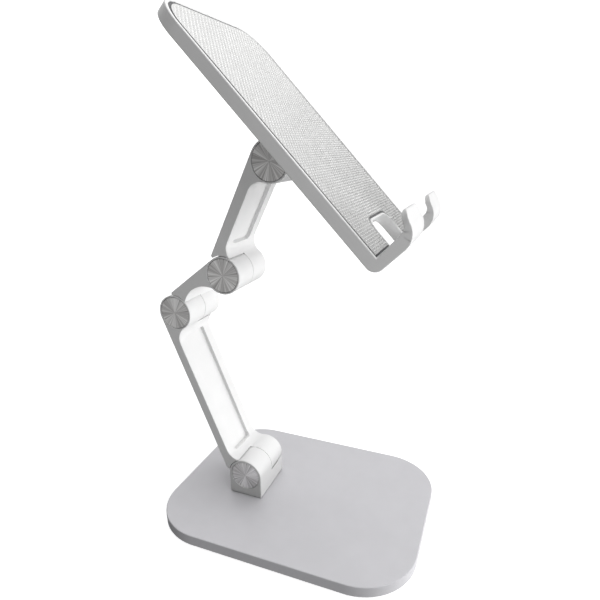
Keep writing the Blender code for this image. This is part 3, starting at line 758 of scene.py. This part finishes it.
# ---- hinge caps ---------------------------------------------------------------------
def cap(name, side, where, along, body, node):
    """A face-turned disc with a rounded rim and a small centre mark."""
    outer = HALF_WIDTH - CAP_SUNK
    profile = [(0, outer - 0.12), (0.35, outer - 0.1), (0.55, outer), (CAP_FLAT, outer)]
    profile += arc((CAP_RADIUS - CAP_RIM_ROUND, outer - CAP_RIM_ROUND), CAP_RIM_ROUND, 90, 0, 3)
    profile += [(CAP_BACK, outer - CAP_THICK), (0, outer - CAP_THICK)]
    disc = turned([(radius, side * height) for radius, height in profile], 120)
    where = where @ Matrix.Translation((0, 0, along))
    place(disc, name, where, body, SPUN, "spun_metal", node, angle=50)


for number, lower_piece, upper_piece in (
        (1, (PEDESTAL, 0, "base"), (LOWER, 0, "lower_arm")),
        (2, (LOWER, LOWER_LENGTH, "lower_arm"), (LINK, 0, "middle_link")),
        (3, (LINK, LINK_LENGTH, "middle_link"), (UPPER, 0, "upper_arm")),
        (4, (UPPER, UPPER_LENGTH, "upper_arm"), (TRAY, 0, "tray"))):
    cap(f"cap_{number}_left", -1, *lower_piece, f"hinge_{number}_left_cap")
    cap(f"cap_{number}_right", 1, *upper_piece, f"hinge_{number}_right_cap")

# ---- finishes of the carried-over nodes ---------------------------------------------
SLOT_FINISH = {"base_plastic": BASE_PLASTIC, "arm_plastic": ARM_PLASTIC,
               "tray_plastic": TRAY_PLASTIC, "tray_silicone": SILICONE,
               "foot_silicone": FOOT_SILICONE, "ballast_steel": BALLAST, "spun_metal": SPUN,
               "zinc_steel": STEEL, "nylon": NYLON}
for entry in frame["record"]["subparts"]:
    node = frame["nodes"][entry["node"]]
    node.data.materials.clear()
    node.data.materials.append(SLOT_FINISH[entry["material_slot"]])

# ---- stage, light and camera --------------------------------------------------------
PAPER_WHITE = (0.85, 0.85, 0.85)
PAPER = Shader("studio_paper", PAPER_WHITE, 0.9, Emission_Color=(1, 1, 1, 1),
               Emission_Strength=0.45)
PAPER.bump(PAPER.noise(1.0), 0.02)
BACKDROP = Shader("backdrop_paper", PAPER_WHITE, 0.9, Emission_Color=(1, 1, 1, 1),
                  Emission_Strength=1.0)
floor_work = bmesh.new()
bmesh.ops.create_grid(floor_work, x_segments=8, y_segments=8, size=6.0)
floor = as_object(floor_work, "floor")
floor.data.materials.append(PAPER.material)
backdrop_work = bmesh.new()
bmesh.ops.create_cone(backdrop_work, segments=64, radius1=6.0, radius2=6.0, depth=12.0)
backdrop = as_object(backdrop_work, "backdrop")
backdrop.data.materials.append(BACKDROP.material)
for sheet in (floor, backdrop):
    sheet.visible_diffuse = False
    sheet.visible_glossy = False
    sheet.visible_shadow = False

world = bpy.data.worlds.new("studio")
bpy.context.scene.world = world
world.use_nodes = True
nodes, links = world.node_tree.nodes, world.node_tree.links
direction = nodes.new("ShaderNodeTexCoord").outputs["Generated"]


def sky_patch(toward, start, full, low_value, high_value):
    """A smooth step between two strengths with the cosine of the angle from a direction."""
    facing = nodes.new("ShaderNodeVectorMath")
    facing.operation = "DOT_PRODUCT"
    facing.inputs[1].default_value = toward
    links.new(direction, facing.inputs[0])
    step = nodes.new("ShaderNodeMapRange")
    step.interpolation_type = "SMOOTHSTEP"
    for key, value in (("From Min", start), ("From Max", full), ("To Min", low_value),
                       ("To Max", high_value)):
        step.inputs[key].default_value = value
    links.new(facing.outputs["Value"], step.inputs["Value"])
    return step.outputs["Result"]


def blend(operation, first, second):
    """Sums or multiplies two strengths."""
    made = nodes.new("ShaderNodeMath")
    made.operation = operation
    links.new(first, made.inputs[0])
    links.new(second, made.inputs[1])
    return made.outputs[0]


room = sky_patch((0.86, -0.45, 0.2), -0.45, 0.35, 0.05, 1.05)
low_front = sky_patch((0.2, -0.85, -0.48), 0.55, 0.95, 0.0, 0.7)
ceiling = sky_patch((0, 0, 1), 0.55, 0.9, 0.0, 0.65)
low_left = sky_patch((-0.86, 0.33, -0.38), 0.82, 0.98, 0.0, 0.6)
dark_corner = sky_patch((0.984, 0.127, -0.127), 0.82, 0.92, 1.0, 0.05)
lit = blend("ADD", blend("ADD", room, ceiling), blend("ADD", low_left, low_front))
glow = blend("MULTIPLY", lit, dark_corner)
links.new(glow, nodes["Background"].inputs["Strength"])
nodes["Background"].inputs["Color"].default_value = (1, 1, 1, 1)


def softbox(name, spot, target, size, power):
    """A rectangular lamp at a spot, facing a target."""
    data = bpy.data.lights.new(name, "AREA")
    data.shape = "RECTANGLE"
    data.size, data.size_y = size
    data.energy = power
    lamp = bpy.data.objects.new(name, data)
    lamp.location = spot
    lamp.rotation_euler = (Vector(target) - Vector(spot)).to_track_quat("-Z", "Y").to_euler()
    bpy.context.scene.collection.objects.link(lamp)


softbox("key_light", (0.30, -1.05, 0.08), (0, 0, 0.12), (0.8, 0.6), 2.8)
softbox("side_light", (-0.26, -0.22, 0.10), (-0.04, -0.08, 0.12), (0.08, 0.08), 0.14)

AZIMUTH, ELEVATION, ROLL = math.radians(-68.891), math.radians(22.302), math.radians(0.288)
back = Vector((math.sin(AZIMUTH) * math.cos(ELEVATION), -math.cos(AZIMUTH) * math.cos(ELEVATION),
               math.sin(ELEVATION)))
right = (-back).cross(Vector((0, 0, 1))).normalized()
up = right.cross(-back)
turned_right = math.cos(ROLL) * right + math.sin(ROLL) * up
turned_up = math.cos(ROLL) * up - math.sin(ROLL) * right
camera_data = bpy.data.cameras.new("camera")
camera_data.lens = 29.68
camera_data.sensor_width = 36.0
camera_data.shift_x = -0.0061
camera_data.shift_y = 0.0724
camera_data.clip_start = 0.005
camera_data.clip_end = 50.0
camera = bpy.data.objects.new("camera", camera_data)
pose = Matrix((turned_right, turned_up, back)).transposed().to_4x4()
pose.translation = Vector((-0.21982, -0.08486, 0.19765))
camera.matrix_world = pose
bpy.context.scene.collection.objects.link(camera)
bpy.context.scene.camera = camera
bpy.context.scene.view_settings.view_transform = "Standard"

bpy.context.view_layer.update()
